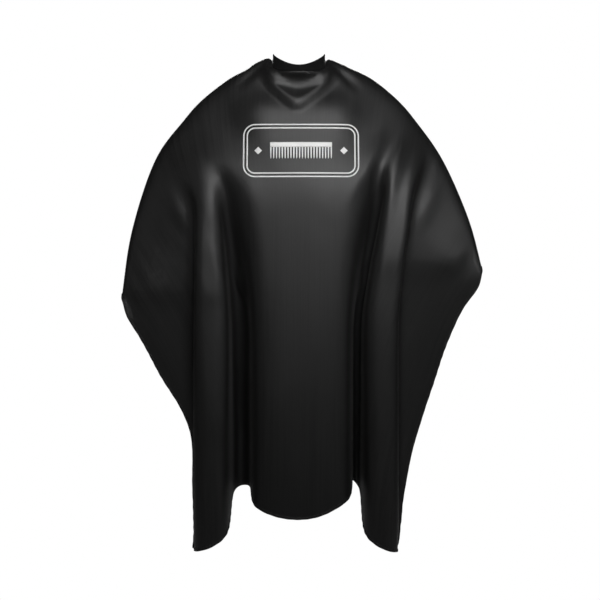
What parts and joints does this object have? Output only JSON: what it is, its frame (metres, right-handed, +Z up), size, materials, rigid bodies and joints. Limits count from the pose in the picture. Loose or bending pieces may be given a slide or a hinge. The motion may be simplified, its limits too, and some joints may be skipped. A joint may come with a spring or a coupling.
{
  "type": "barber cape",
  "caption": "Barber cape draped over held-out arms, with an open snap neckband, vertical folds, a bound edge and a plain chest print.",
  "frame": {"origin": "middle of the neck opening, level with the neckband's two ears", "axes": "+Z up along the wearer's neck, -Y to the wearer's front, +X to the right as seen from the front"},
  "size_m": [1.0522, 0.2831, 1.4418],
  "materials": {
    "cloth": "satin woven polyester, crinkle free",
    "binding": "plain woven tape, stitched",
    "neckband": "matt folded cloth strip, topstitched",
    "interlining": "plain non-woven",
    "print": "heat transfer film",
    "snap_metal": "plated"
  },
  "bodies": {
    "root": {"cape_body": "cloth", "binding_bottom": "binding", "binding_side_left": "binding", "binding_side_right": "binding", "binding_back_left": "binding", "binding_back_right": "binding", "neckband_front_cover": "neckband", "neckband_front_interlining": "interlining", "print_outer_line": "print", "print_inner_line": "print", "print_comb": "print", "print_diamond_left": "print", "print_diamond_right": "print", "snap_left_1_cap": "snap_metal", "snap_left_1_socket": "snap_metal", "snap_right_1_stud": "snap_metal", "snap_right_1_post_cap": "snap_metal"},
    "left_near": {"neckband_left_near_cover": "neckband", "neckband_left_near_interlining": "interlining"},
    "left_tip": {"neckband_left_tip_cover": "neckband", "neckband_left_tip_interlining": "interlining", "snap_left_2_cap": "snap_metal", "snap_left_2_socket": "snap_metal", "snap_left_3_cap": "snap_metal", "snap_left_3_socket": "snap_metal"},
    "right_near": {"neckband_right_near_cover": "neckband", "neckband_right_near_interlining": "interlining"},
    "right_tip": {"neckband_right_tip_cover": "neckband", "neckband_right_tip_interlining": "interlining", "snap_right_2_stud": "snap_metal", "snap_right_2_post_cap": "snap_metal", "snap_right_3_stud": "snap_metal", "snap_right_3_post_cap": "snap_metal"}
  },
  "joints": [
    {"name": "left_tab_swing", "type": "hinge", "parent": "root", "child": "left_near", "pos_m": [-0.0726, 0.00015, 0.0047], "axis": [0, 0, -1], "range_deg": [0, 45]},
    {"name": "left_tip_swing", "type": "hinge", "parent": "left_near", "child": "left_tip", "pos_m": [-0.0726, 0.06936, 0.0047], "axis": [0, 0, -1], "range_deg": [0, 45]},
    {"name": "right_tab_swing", "type": "hinge", "parent": "root", "child": "right_near", "pos_m": [0.0726, 0.00015, 0.0047], "axis": [0, 0, 1], "range_deg": [0, 45]},
    {"name": "right_tip_swing", "type": "hinge", "parent": "right_near", "child": "right_tip", "pos_m": [0.0726, 0.06045, 0.0047], "axis": [0, 0, 1], "range_deg": [0, 45]}
  ],
  "couplings": [
    {"joint": "left_tip_swing", "follows": "left_tab_swing", "ratio": 1},
    {"joint": "right_tip_swing", "follows": "right_tab_swing", "ratio": 1}
  ]
}
